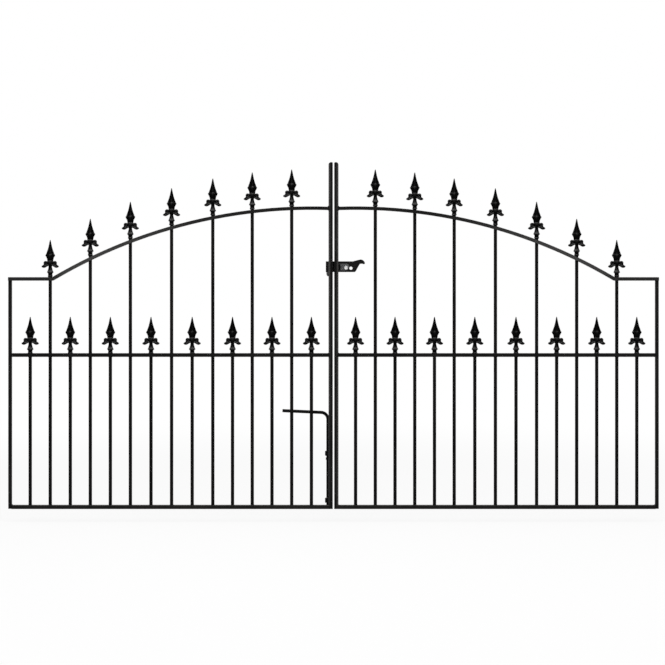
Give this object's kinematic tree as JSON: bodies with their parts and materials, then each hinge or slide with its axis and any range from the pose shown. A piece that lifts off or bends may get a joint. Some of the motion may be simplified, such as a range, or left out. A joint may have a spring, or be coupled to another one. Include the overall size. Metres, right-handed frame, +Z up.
{
  "type": "wrought iron double driveway gate",
  "caption": "Wrought iron driveway gate leaves with an arched top and cast spearheads, swinging inward on jamb hinges, with a seesaw latch and a drop bolt.",
  "frame": {"origin": "middle of the lower left jamb plate's outer face, which lies on the post", "axes": "+X along the closed gate from the left post to the right post as seen from the road, +Y inward towards the drive, +Z up"},
  "size_m": [2.45, 0.0847, 1.299],
  "materials": {
    "black_powder_coat": "satin",
    "black_casting": "satin",
    "zinc_plate": "satin",
    "dull_zinc": "matte"
  },
  "bodies": {
    "post_fixings": {"left_jamb_plates": "black_powder_coat", "left_gudgeons": "black_powder_coat", "right_jamb_plates": "black_powder_coat", "right_gudgeons": "black_powder_coat"},
    "left_leaf": {"left_hanging_stile": "black_powder_coat", "left_meeting_stile": "black_powder_coat", "left_bottom_rail": "black_powder_coat", "left_middle_rail": "black_powder_coat", "left_arched_top_rail": "black_powder_coat", "left_short_bars": "black_powder_coat", "left_tall_bars": "black_powder_coat", "left_short_spearheads": "black_casting", "left_tall_spearheads": "black_casting", "left_hinge_eyes": "black_powder_coat", "latch_catch": "dull_zinc", "drop_bolt_upper_guide": "black_powder_coat", "drop_bolt_lower_guide": "black_powder_coat"},
    "right_leaf": {"right_hanging_stile": "black_powder_coat", "right_meeting_stile": "black_powder_coat", "right_bottom_rail": "black_powder_coat", "right_middle_rail": "black_powder_coat", "right_arched_top_rail": "black_powder_coat", "right_short_bars": "black_powder_coat", "right_tall_bars": "black_powder_coat", "right_short_spearheads": "black_casting", "right_tall_spearheads": "black_casting", "right_hinge_eyes": "black_powder_coat", "latch_bracket": "dull_zinc", "latch_washer": "zinc_plate", "latch_pivot_bolt": "zinc_plate", "latch_pivot_nut": "zinc_plate"},
    "latch_lever": {"latch_lever": "black_powder_coat"},
    "drop_bolt": {"drop_bolt_rod": "black_powder_coat", "drop_bolt_collar": "black_powder_coat"}
  },
  "joints": [
    {"name": "left_leaf_hinge", "type": "hinge", "parent": "post_fixings", "child": "left_leaf", "pos_m": [0.01035, -0.0333, 0], "axis": [0, 0, 1], "range_deg": [0, 90]},
    {"name": "right_leaf_hinge", "type": "hinge", "parent": "post_fixings", "child": "right_leaf", "pos_m": [2.43965, -0.0333, 0], "axis": [0, 0, -1], "range_deg": [0, 90]},
    {"name": "latch_lever_pivot", "type": "hinge", "parent": "right_leaf", "child": "latch_lever", "pos_m": [1.272, -0.0333, 0.7983], "axis": [0, 1, 0], "range_deg": [0, 25]},
    {"name": "drop_bolt_slide", "type": "slide", "parent": "left_leaf", "child": "drop_bolt", "axis": [0, 0, -1], "range_m": [0, 0.12]}
  ]
}
